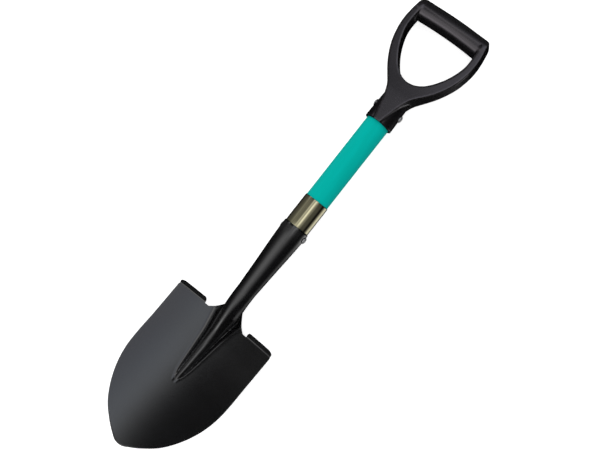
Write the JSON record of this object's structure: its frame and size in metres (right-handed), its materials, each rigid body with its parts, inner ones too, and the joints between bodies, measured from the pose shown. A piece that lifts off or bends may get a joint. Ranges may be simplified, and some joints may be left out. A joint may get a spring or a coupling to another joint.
{
  "type": "garden spade",
  "caption": "Short round-point spade with a dished pressed blade and tapered socket, a steel ferrule, a round fibreglass shaft and a riveted D-grip.",
  "frame": {"origin": "centre of the bounding box's underside: the spade lies on its back on the ground plane", "axes": "+Y along the shaft from the blade's tip to the grip, +Z out of the blade's hollow face, +X to the tool's right"},
  "size_m": [0.154, 0.6747, 0.059],
  "materials": {
    "black_enamel": "satin black stove enamel on pressed steel",
    "polished_steel": "bright polished, slightly warm",
    "teal_fibreglass": "satin teal gel coat",
    "plug_plastic": "plain moulded, hidden",
    "black_plastic": "satin moulded polypropylene",
    "zinc": "dull zinc plate"
  },
  "bodies": {
    "root": {"blade_and_socket": "black_enamel", "ferrule": "polished_steel", "shaft": "teal_fibreglass", "lower_core_plug": "plug_plastic", "upper_core_plug": "plug_plastic", "d_grip": "black_plastic", "socket_rivet": "zinc", "collar_rivet": "zinc", "collar_rivet_washer": "zinc"}
  },
  "joints": []
}
